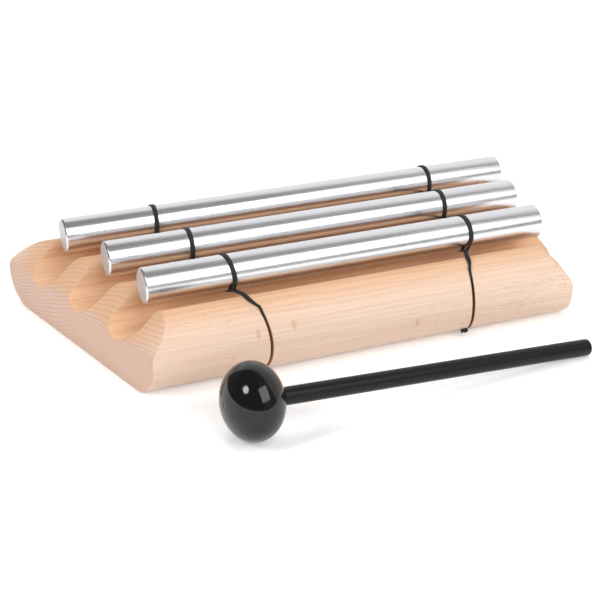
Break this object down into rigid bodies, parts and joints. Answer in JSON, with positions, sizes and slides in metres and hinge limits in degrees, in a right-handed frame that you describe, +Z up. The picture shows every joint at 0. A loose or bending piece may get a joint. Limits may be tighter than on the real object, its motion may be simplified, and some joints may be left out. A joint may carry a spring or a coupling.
{
  "type": "energy chime",
  "caption": "Desk chime: round aluminium bars slung in elastic loops over grooves in a bullnosed beech block with skewed, bevelled ends; a round-headed mallet lies in front.",
  "frame": {"origin": "middle of the flat underside of the beech block", "axes": "+X along the bars to the right as seen from the front, +Y from the front to the back, +Z up"},
  "size_m": [0.2164, 0.1461, 0.0397],
  "materials": {
    "beech": "fine-sanded and oiled",
    "bar_aluminium": "drawn and polished lengthwise",
    "elastic": "flat braided elastic",
    "head_plastic": "moulded, glossy",
    "handle_plastic": "satin"
  },
  "bodies": {
    "block": {"beech_block": "beech", "left_front_lead": "elastic", "left_front_bridge": "elastic", "left_rear_bridge": "elastic", "left_rear_lead": "elastic", "left_kerf_strand": "elastic", "left_knot": "elastic", "right_front_lead": "elastic", "right_front_bridge": "elastic", "right_rear_bridge": "elastic", "right_rear_lead": "elastic", "right_kerf_strand": "elastic", "right_knot": "elastic"},
    "front_sling": {"left_front_loop": "elastic", "right_front_loop": "elastic"},
    "middle_sling": {"left_middle_loop": "elastic", "right_middle_loop": "elastic"},
    "rear_sling": {"left_rear_loop": "elastic", "right_rear_loop": "elastic"},
    "front_chime": {"front_bar": "bar_aluminium"},
    "middle_chime": {"middle_bar": "bar_aluminium"},
    "rear_chime": {"rear_bar": "bar_aluminium"},
    "mallet": {"mallet_head": "head_plastic", "mallet_handle": "handle_plastic"}
  },
  "joints": [
    {"name": "front_bounce", "type": "slide", "parent": "block", "child": "front_sling", "axis": [0, 0, 1], "range_m": [-0.004, 0.004], "stiffness_N_per_m": 200, "springref_m": 0.00259, "deforming": ["left_front_lead", "right_front_lead"]},
    {"name": "middle_bounce", "type": "slide", "parent": "block", "child": "middle_sling", "axis": [0, 0, 1], "range_m": [-0.004, 0.004], "stiffness_N_per_m": 200, "springref_m": 0.00277, "deforming": ["left_front_bridge", "right_front_bridge"]},
    {"name": "rear_bounce", "type": "slide", "parent": "block", "child": "rear_sling", "axis": [0, 0, 1], "range_m": [-0.004, 0.004], "stiffness_N_per_m": 200, "springref_m": 0.00307, "deforming": ["left_rear_bridge", "right_rear_bridge", "left_rear_lead", "right_rear_lead"]},
    {"name": "front_roll", "type": "hinge", "parent": "front_sling", "child": "front_chime", "pos_m": [0, -0.027, 0.0324], "axis": [1, 0, 0], "continuous": true},
    {"name": "middle_roll", "type": "hinge", "parent": "middle_sling", "child": "middle_chime", "pos_m": [0, 0, 0.0324], "axis": [1, 0, 0], "continuous": true},
    {"name": "rear_roll", "type": "hinge", "parent": "rear_sling", "child": "rear_chime", "pos_m": [0, 0.027, 0.0324], "axis": [1, 0, 0], "continuous": true},
    {"name": "mallet_lift", "type": "slide", "parent": "block", "child": "mallet", "axis": [0, 0, 1], "range_m": [0, 0.1]}
  ]
}
